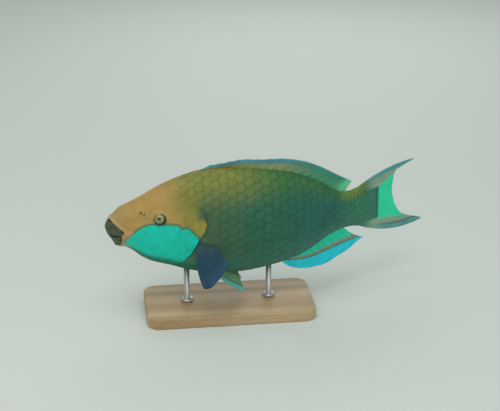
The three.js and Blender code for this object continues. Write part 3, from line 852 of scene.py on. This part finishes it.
# %% Back fin
FIN_SINK = 7.0
EDGE_BLUE = colour(70, 134, 146)
EDGE_PALE = colour(132, 200, 196)
FOOT_OLIVE = colour(116, 116, 58)
FOOT_BROWN = colour(128, 148, 98)
FOOT_GREEN = colour(84, 150, 96)
STREAK_TEAL = colour(42, 138, 112)
END_GREEN = colour(104, 206, 152)
BACK_FIN = {"from": 127.0, "to": 337.0}
dorsal_edge = line_through([
    (129, 83), (142, 86), (156, 88.5), (170, 91), (190, 92.5), (225, 91), (254, 87.5), (272, 83), (300, 70),
    (333, 50), (354, 38),
])
dorsal_lean = line_through([(127, 3), (190, 10), (230, 24), (270, 36), (300, 36), (337, 17)])


def dorsal_sheet(u, v):
    s = BACK_FIN["from"] + (BACK_FIN["to"] - BACK_FIN["from"]) * u
    tip_s = s + dorsal_lean(s)
    notch = 0.7 * np.sin(math.pi * ((u * 18) % 1)) * (u < 0.45)
    root_z = back_at(s) - FIN_SINK
    tip_z = dorsal_edge(tip_s) - notch
    wave = 1.1 * ease(0.35, 1, v) * np.sin(u * 31)
    tip_z = tip_z - 2.2 * (1 - ease(0, 0.08, u)) ** 2
    return place(mix(s, tip_s, v), wave, mix(root_z, tip_z, v))


def dorsal_marking(u, v, rise):
    rear = ease(0.45, 0.7, u)
    return layered(
        FOOT_OLIVE,
        (FOOT_BROWN, ease(0.15, 0.4, u)),
        (FOOT_GREEN, ease(0.55, 0.8, u)),
        (STREAK_TEAL, rear * ease(0.1, 0.5, 1 - rise) * 0.75),
        (EDGE_BLUE, ease(0.62, 0.78, v) * (1 - 0.6 * rear)),
        (STREAK_TEAL, rear * ease(0.62, 0.8, v) * 0.7),
        (EDGE_PALE, 0.7 * ease(0.92, 1.0, v) * (1 - 0.5 * rear)),
        (END_GREEN, ease(0.84, 0.97, u) * ease(0.1, 0.5, v)),
    )


fin_piece("back_fin", "dorsal_fin", dorsal_sheet, dorsal_marking, 19, 9, rows=26)

# %% [markdown]
# The anal fin hangs below the tail stalk. Its bands make the fish easy to know from below: bright
# green at the foot, a grey-pink stripe, a thin dark line and a wide cyan border. The bands follow
# the fin's edge, so they are set by the distance out along the rays.

# %% Anal fin
BAND_GREEN = colour(22, 208, 168)
BAND_GREY = colour(134, 154, 124)
BAND_DARK = colour(18, 96, 88)
BAND_CYAN = colour(30, 208, 226)
ANAL_FIN = {"from": 241.0, "to": 335.0, "lean": (5.0, 45.0), "bow": 4.0}
anal_edge = line_through([
    (246, -68), (256, -75), (270, -79), (287, -81.5), (303, -81), (320, -77.5), (337, -72), (355, -65),
    (380, -55),
])


anal_green_edge = line_through([(0, 0.22), (0.3, 0.31), (0.6, 0.37), (0.85, 0.47), (1, 0.57)])
anal_dark_line = line_through([(0, 0.4), (0.3, 0.44), (0.6, 0.5), (0.85, 0.64), (1, 0.82)])


def anal_sheet(u, v):
    s = mix(ANAL_FIN["from"], ANAL_FIN["to"], u)
    tip_s = s + mix(*ANAL_FIN["lean"], u)
    root_z = belly_at(s) + FIN_SINK
    sag = ANAL_FIN["bow"] * 4 * v * (1 - v) * u
    wave = 0.8 * ease(0.4, 1, v) * np.sin(u * 22)
    return place(mix(s, tip_s, v), wave, mix(root_z, anal_edge(tip_s), v) - sag)


def anal_marking(u, v, rise):
    past_dark_line = v - anal_dark_line(u)
    shade = layered(
        BAND_GREEN,
        (BAND_GREY, ease(-0.03, 0.03, v - anal_green_edge(u))),
        (BAND_CYAN, ease(-0.02, 0.04, past_dark_line)),
        (BAND_DARK, 0.85 * bell(past_dark_line, 0.028)),
    )
    return mix(shade, shade * 0.78, 0.5 * rise)


fin_piece("anal_fin_dressed", "anal_fin", anal_sheet, anal_marking,
          12, 3, rows=40)

# %% [markdown]
# The tail fin is a crescent. Thirteen main rays spread from the tail stalk, the outer ones long and
# close together, which makes the two lobes stiff and pointed. The middle of the crescent is bright
# turquoise behind the green root, the lobes are greyish pink, and their outer edges blue.

# %% Tail fin
TAIL_EDGE = [
    (-56, 498), (-53, 494), (-46, 475), (-34, 452), (-13, 439), (10, 435), (25, 436), (34, 441), (38, 455),
    (44, 479),
]
TAIL_ROOT = (-35.2, 26.0)
TAIL_BOW = (10.0, 6.0)
TAIL_START = 371.0
LOBE_GREY = colour(140, 172, 146)
TAIL_TURQUOISE = colour(40, 226, 174)
TAIL_GREEN = colour(54, 122, 98)
TAIL_BLUE = colour(84, 158, 160)
tail_edge = line_through(TAIL_EDGE)


def tail_line(u, v):
    across = 2 * u - 1
    crowded = (1 + np.sign(across) * np.abs(across) ** 0.8) / 2
    tip_z = mix(float(TAIL_EDGE[0][0]), float(TAIL_EDGE[-1][0]), crowded)
    root_z = mix(*TAIL_ROOT, u)
    bow = np.where(across > 0, TAIL_BOW[1], -TAIL_BOW[0])
    z = mix(root_z, tip_z, v) + bow * across * across * 4 * v * (1 - v)
    return mix(TAIL_START, tail_edge(tip_z), v), z


def tail_sheet(u, v):
    s, z = tail_line(u, v)
    wave = 1.0 * ease(0.3, 1, v) * np.sin(u * 14) * 4 * u * (1 - u)
    return place(s, wave, z)


def tail_marking(u, v, rise):
    s, z = tail_line(u, v)
    past = np.maximum(s - 405, 0)
    lobe = np.maximum(ease(-2, 2, z - 17 - 0.42 * past), ease(-2, 2, -32 - 0.17 * past - z))
    shade = layered(
        TAIL_GREEN,
        (TAIL_TURQUOISE, ease(405, 409, s)),
        (BAND_DARK, 0.8 * bell(s - 405, 2.2) * (1 - lobe)),
        (mix(TAIL_GREEN, LOBE_GREY, ease(374, 402, s)), lobe),
        (BAND_DARK, 0.75 * bell(u - 0.085, 0.022) * ease(395, 430, s)),
        (TAIL_BLUE, (1 - ease(0.045, 0.08, u)) * ease(385, 430, s)),
        (TAIL_BLUE, ease(0.88, 0.96, u) * ease(380, 400, s)),
        (STALK_OLIVE, ease(0.8, 0.92, u) * (1 - ease(376, 396, s)) * 0.8),
    )
    return mix(shade, shade * 0.82, 0.4 * rise)


fin_piece("tail_fin_dressed", "tail_fin", tail_sheet, tail_marking,
          13, 0, rows=70, web=(1.2, 0.25), ridge=(0.7, 0.22), flesh=2.0)

# %% [markdown]
# The paired fins are fans. The breast fin is what a parrotfish rows with: broad, dark blue, cupped
# and here at the end of its stroke, held down and out. The belly fins are narrow, green, with a
# bright leading edge. Each fan is spread between a leading and a trailing ray, given by root and tip.

# %% Paired fins
BREAST_BLUE = colour(14, 60, 80)
BREAST_TIP = colour(24, 70, 96)
BREAST_ROOT = colour(40, 76, 76)
BELLY_FIN_GREEN = colour(92, 142, 100)
BELLY_FIN_CYAN = colour(82, 176, 168)


def fan_sheet(fan, side):
    lead_root, lead_tip = (np.array(end, float) for end in fan["leading"])
    trail_root, trail_tip = (np.array(end, float) for end in fan["trailing"])

    def sheet(u, v):
        root = mix(lead_root, trail_root, u)
        tip = mix(lead_tip, trail_tip, u)
        u = u[..., None]
        v = v[..., None]
        bulge = 1 + fan["bulge"] * 4 * u * (1 - u)
        arch = 4 * v * (1 - v)
        point = root + (tip - root) * v * bulge
        fade = (1 - u) * (1 - u)
        shift = np.array([fan["bow"][0], 0, fan["bow"][1]]) * arch * fade
        point = point + shift + np.array([0, -fan["cup"], 0]) * arch
        ripple = fan["ripple"] * v * np.sin(u * 17)
        return place(point[..., 0], -side * (point[..., 1] + ripple[..., 0]), point[..., 2])

    return sheet


BREAST_FAN = {
    "leading": [(127, -25, -6), (126, -64, -68)], "trailing": [(143, -25, -18), (161, -50, -37)],
    "bow": (-8, 0), "cup": 3, "bulge": 0.17, "ripple": 0.6,
}
BELLY_FAN = {
    "leading": [(136, -7, -61), (189, -24, -95)], "trailing": [(148, -4, -64), (182, -9, -78)],
    "bow": (0, -6), "cup": 0, "bulge": -0.05, "ripple": 0.4,
}


def breast_marking(u, v, rise):
    shade = mix(BREAST_ROOT, BREAST_BLUE, ease(0.2, 0.4, v))
    shade = mix(shade, BREAST_TIP, ease(0.6, 1.0, v) * ease(0.0, 0.5, u))
    return mix(shade, shade * 1.25, 0.35 * rise)


def belly_fin_marking(u, v, rise):
    lead = 1 - ease(0.2, 0.32, u)
    shade = mix(BELLY_FIN_GREEN, BELLY_FIN_CYAN, lead * ease(0.25, 0.45, v))
    shade = mix(shade, BAND_DARK, 0.7 * bell(u - 0.3, 0.05) * ease(0.25, 0.45, v))
    return mix(shade, shade * 0.85, 0.5 * rise * (1 - lead))


for side, side_name in SIDE_NAMES:
    fin_piece("breast_fin_" + side_name, "pectoral_fin_" + side_name,
              fan_sheet(BREAST_FAN, side), breast_marking, 14, 1, rows=40, ridge=(0.7, 0.2), flesh=1.2)
    fin_piece("belly_fin_" + side_name, "pelvic_fin_" + side_name,
              fan_sheet(BELLY_FAN, side), belly_fin_marking, 6, 1, rows=30, ridge=(0.9, 0.25), flesh=0.8)

# %% [markdown]
# The beak is what a parrotfish is named for: its teeth are fused into two plates in each jaw, and
# the upper ones close over the lower. In life the plates are overgrown with a dark green film. The
# rows of worn teeth show as low bumps, and a groove marks the middle. The plates wrap round the
# snout, so they are built level by level: at each height, a line from one mouth corner round the
# front to the other.

# %% Beak finish
BEAK_DARK = colour(40, 48, 36)
BEAK_PALE = colour(128, 150, 116)
BEAK_GREEN = colour(70, 86, 62)

beak_material, beak_shader = new_material("beak_with_film", 0.55, coat=0.1)
film = remap(beak_material, noise(beak_material, 130, 6), 0.38, 0.62, 0.0, 1.0)
worn = remap(beak_material, noise(beak_material, 420, 4), 0.55, 0.75, 0.0, 0.5)
beak_shade = blend_colour(beak_material, film, tuple(BEAK_DARK), tuple(BEAK_GREEN))
beak_shade = blend_colour(beak_material, worn, beak_shade, tuple(BEAK_PALE))
beak_shade = blend_colour(beak_material, marking_of(beak_material, "Fac"), beak_shade, tuple(BEAK_PALE))
connect(beak_material, beak_shade, beak_shader.inputs["Base Color"])
add_bump(beak_material, beak_shader, noise(beak_material, 500, 4), 0.5, 0.0004)

# %% Beak plates
BEAK_SIDE_COLUMNS = 46
BEAK_ROWS = 34
BEAK_DEPTH = 3.0
HEAD_MIDDLE = np.array([-0.14, 0, 0.128])


def front_at(z, upper):
    """Where the body's own outline starts at a height, in front of the eye."""
    line = np.linspace(-2, 40, 400)
    inside = back_at(line) >= z if upper else belly_at(line) <= z
    return line[np.argmax(inside)]


def beak_plate(name, node, top, bottom, proud, scallop, paleness):
    """top and bottom are (height at the front, s and height at the mouth corner) of the plate's edges."""
    around = np.linspace(-1, 1, 2 * BEAK_SIDE_COLUMNS + 1)
    sweep = np.abs(around)
    rows = []
    for share in np.linspace(0, 1, BEAK_ROWS + 1):
        front_z = mix(top[0], bottom[0], share)
        corner_s = mix(top[1], bottom[1], share)
        corner_z = mix(top[2], bottom[2], share)
        start = front_at(front_z, front_z > 4)
        s = start + (corner_s - start) * (1 - np.cos(0.5 * math.pi * sweep)) ** 0.9
        z = front_z + (corner_z - front_z) * sweep ** 1.7
        y = np.sign(around) * flank_at(np.maximum(s, start + 0.01), z)
        rows.append(np.stack([s, y, z], axis=-1))
    grid = np.array(rows)
    share = np.linspace(0, 1, BEAK_ROWS + 1)[:, None]
    tier = np.floor(share * 5)
    cusps = np.abs(np.sin((around[None, :] * 10 + 0.5 * tier) * math.pi))
    teeth = cusps * np.abs(np.sin(share * 5 * math.pi))
    swell = proud * np.sin(math.pi * np.clip(share * 0.9 + 0.1, 0, 1)) ** 0.4 + 0.4 * teeth ** 0.7
    swell = swell - 0.9 * bell(around, 0.035)[None, :]
    swell = swell * (1 - 0.8 * ease(0.86, 1, sweep))[None, :]
    points = place(grid[..., 0], grid[..., 1], grid[..., 2])
    over = np.gradient(points, axis=1)
    down = np.gradient(points, axis=0)
    normal = unit(np.cross(down, over))
    normal *= np.sign(np.sum(normal * (points - HEAD_MIDDLE), axis=-1, keepdims=True))
    outer = points + MM * swell[..., None] * normal
    edge_drop = scallop * np.abs(np.sin(around * 11 * math.pi)) * (1 - ease(0.8, 1, sweep))
    outer[-1, :, 2] += MM * edge_drop
    inner = points - MM * BEAK_DEPTH * normal
    faces = closed_sheet(BEAK_ROWS + 1, len(around))
    piece = make_piece(name, np.stack([outer, inner]).reshape(-1, 3), faces, beak_material)
    tone = paleness * teeth ** 3 * (1 - ease(0.75, 0.95, sweep))[None, :]
    store_colour(piece, np.repeat(np.tile(tone.ravel(), 2)[:, None], 3, axis=1))
    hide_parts(node)
    print(name, "has", 2 * len(faces), "triangles")


beak_plate("beak_upper_plates", "upper_beak", (15.0, 22.0, 1.5), (-7.2, 22.0, -2.0), 1.0, 0.9, 0.25)
beak_plate("beak_lower_plates", "lower_beak", (-26.0, 17.0, -21.0), (-8.6, 18.6, -7.8), -1.6, -0.6, 0.9)

# %% [markdown]
# A fish's eye is a ball with a flat clear front: a dark pupil, a thin gold ring, an olive iris with
# dark specks. One ball is enough, with its colours set by the distance from the eye's own axis and a
# clear coat over it. The distance is stored with the mesh, so the rings turn with the ball.

# %% Eyes
PUPIL = colour(22, 28, 18)
IRIS_GOLD = colour(176, 164, 92)
IRIS_OLIVE = colour(122, 128, 72)
EYE_RIM = colour(46, 62, 36)
EYE_FORWARD = 0.14
EYE_UPWARD = 0.24

eye_material, eye_shader = new_material("eye", 0.2, coat=1.0)
iris_fleck = remap(eye_material, noise(eye_material, 900, 3), 0.35, 0.65, 0.8, 1.2)
iris_shade = tint(eye_material, marking_of(eye_material), iris_fleck)
connect(eye_material, iris_shade, eye_shader.inputs["Base Color"])
eye_shader.inputs["Coat Roughness"].default_value = 0.05


def eye_piece(side, side_name):
    rows = 72
    columns = 72
    spokes = 2 * math.pi * np.arange(columns) / columns
    polar, turn = np.meshgrid(np.linspace(0.01, 3.13, rows), spokes, indexing="ij")
    out = float(flank_at(np.array(EYE[0]), np.array(EYE[1])))
    axis = unit(np.array([-EYE_FORWARD, 1.0, EYE_UPWARD]))
    first = unit(np.cross(axis, [0, 0, 1.0]))
    second = np.cross(axis, first)
    radius = EYE_RADIUS * np.ones_like(polar)
    from_axis = np.where(polar < math.pi / 2, EYE_RADIUS * np.sin(polar), EYE_RADIUS)
    radius -= 0.5 * (1 - ease(2.6, 7.5, from_axis))
    radius += 0.35 * (1 - ease(2.2, 3.4, from_axis))
    local = (
        np.cos(polar)[..., None] * axis
        + (np.sin(polar) * np.cos(turn))[..., None] * first
        + (np.sin(polar) * np.sin(turn))[..., None] * second
    ) * radius[..., None]
    centre_out = out - EYE_RADIUS + EYE_PROUD
    points = place(EYE[0] + local[..., 0], side * (centre_out + local[..., 1]), EYE[1] + local[..., 2])
    faces = closed_rings(rows, columns)
    if side < 0:
        faces = [face[::-1] for face in faces]
    piece = make_piece("eye_ball_" + side_name, points.reshape(-1, 3), faces, eye_material)
    shade = layered(
        PUPIL,
        (IRIS_GOLD, ease(2.5, 3.1, from_axis)),
        (IRIS_OLIVE, ease(3.3, 4.4, from_axis)),
        (EYE_RIM, ease(6.2, 7.2, from_axis)),
    )
    store_colour(piece, shade.reshape(-1, 3))
    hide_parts("eye_" + side_name)


for side, side_name in SIDE_NAMES:
    eye_piece(side, side_name)
print("eyes", 2 * EYE_RADIUS, "mm across")

# %% [markdown]
# The stand isn't part of the fish: a plain wooden base and two steel rods hold it up, as in a
# museum. A rounded outline with softened edges is enough. The rods run up into the belly.

# %% Stand finishes
WOOD_PALE = colour(190, 164, 126)
WOOD_DARK = colour(168, 138, 98)

wood_material, wood_shader = new_material("base_wood", 0.5)
grain_place = add_node(wood_material, "Mapping")
connect(wood_material, add_node(wood_material, "TexCoord").outputs["Object"], grain_place.inputs["Vector"])
grain_place.inputs["Scale"].default_value = (3, 26, 26)
rings = add_node(wood_material, "TexWave", {"wave_type": "BANDS", "bands_direction": "Y"},
                 Scale=0.35, Distortion=9.0, Detail=3.0, Vector=grain_place.outputs["Vector"])
fibre = noise(wood_material, 18, 6, 0.6, grain_place.outputs["Vector"])
wood_shade = blend_colour(wood_material, rings.outputs["Fac"], tuple(WOOD_PALE), tuple(WOOD_DARK))
wood_shade = tint(wood_material, wood_shade, remap(wood_material, fibre, 0.3, 0.7, 0.88, 1.08))
connect(wood_material, wood_shade, wood_shader.inputs["Base Color"])
add_bump(wood_material, wood_shader, fibre, 0.3, 0.0004)

steel_material, steel_shader = new_material("rod_steel", 0.4, metallic=1.0)
steel_shader.inputs["Base Color"].default_value = (0.56, 0.56, 0.55, 1)
connect(steel_material, varied(steel_material, 700, 2, 0.34, 0.5), steel_shader.inputs["Roughness"])

# %% Stand
def lathe(name, profile, centre, material, node, sides=48):
    """A turned piece from radii and heights in millimetres."""
    turn = 2 * math.pi * np.arange(sides) / sides
    radii, heights = np.array(profile, float).T
    points = np.stack([
        centre[0] + MM * radii[:, None] * np.cos(turn)[None, :],
        centre[1] + MM * radii[:, None] * np.sin(turn)[None, :],
        MM * heights[:, None] + 0 * turn[None, :],
    ], axis=-1)
    piece = make_piece(name, points.reshape(-1, 3), closed_rings(len(radii), sides), material)
    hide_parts(node)


for node in ("stand_rod_front", "stand_rod_rear"):
    low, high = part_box(node)
    centre = ((low.x + high.x) / 2, (low.y + high.y) / 2)
    foot = low.z / MM
    top = high.z / MM
    lathe(node + "_turned", [
        (8.6, foot), (9.0, foot + 0.6), (9.0, foot + 3.2), (8.2, foot + 4.4), (5.4, foot + 5.0),
        (4.2, foot + 5.4), (4.0, foot + 6.0), (4.0, top),
    ], centre, steel_material, node)

low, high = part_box("stand_base")
corner_radius = 18 * MM
bevel = 2.2 * MM
half_x = (high.x - low.x) / 2
half_y = (high.y - low.y) / 2
CORNER_STEPS = 12
quarter = np.linspace(0, math.pi / 2, CORNER_STEPS)
rim_turn = np.concatenate([quarter + i * math.pi / 2 for i in range(4)])
corner_x = np.repeat([1, -1, -1, 1], CORNER_STEPS) * (half_x - corner_radius)
corner_y = np.repeat([1, 1, -1, -1], CORNER_STEPS) * (half_y - corner_radius)
slants = np.linspace(0, math.pi / 2, 6)
layers = [(bevel * (1 - math.sin(slant)), low.z + bevel * (1 - math.cos(slant))) for slant in slants]
layers += [(bevel * (1 - math.cos(slant)), high.z - bevel * (1 - math.sin(slant))) for slant in slants]
base_points = []
for inset, z in layers:
    radius = corner_radius - inset
    base_points.append(np.stack([
        corner_x + radius * np.cos(rim_turn), corner_y + radius * np.sin(rim_turn), 0 * rim_turn + z,
    ], axis=-1))
base_faces = closed_rings(len(layers), len(rim_turn))
base = make_piece("base_board", np.concatenate(base_points), base_faces, wood_material)
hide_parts("stand_base")
print("base", round(2 * half_x / MM), "by", round(2 * half_y / MM), "mm")

# %% [markdown]
# The floor is a large pale sheet with a trace of texture, so that the fish's shadow has something to
# lie on.

# %% Floor
floor_material, floor_shader = new_material("pale_floor", 0.85)
floor_cloud = varied(floor_material, 6, 5, 0.96, 1.04)
floor_colour = blend_colour(floor_material, floor_cloud, (0.62, 0.66, 0.62), (0.66, 0.7, 0.66))
connect(floor_material, floor_colour, floor_shader.inputs["Base Color"])
floor_mesh = bpy.data.meshes.new("floor")
floor_mesh.from_pydata([(-6, -6, 0), (6, -6, 0), (6, 6, 0), (-6, 6, 0)], [], [(0, 1, 2, 3)])
floor_mesh.materials.append(floor_material)
floor = bpy.data.objects.new("floor", floor_mesh)
bpy.context.scene.collection.objects.link(floor)
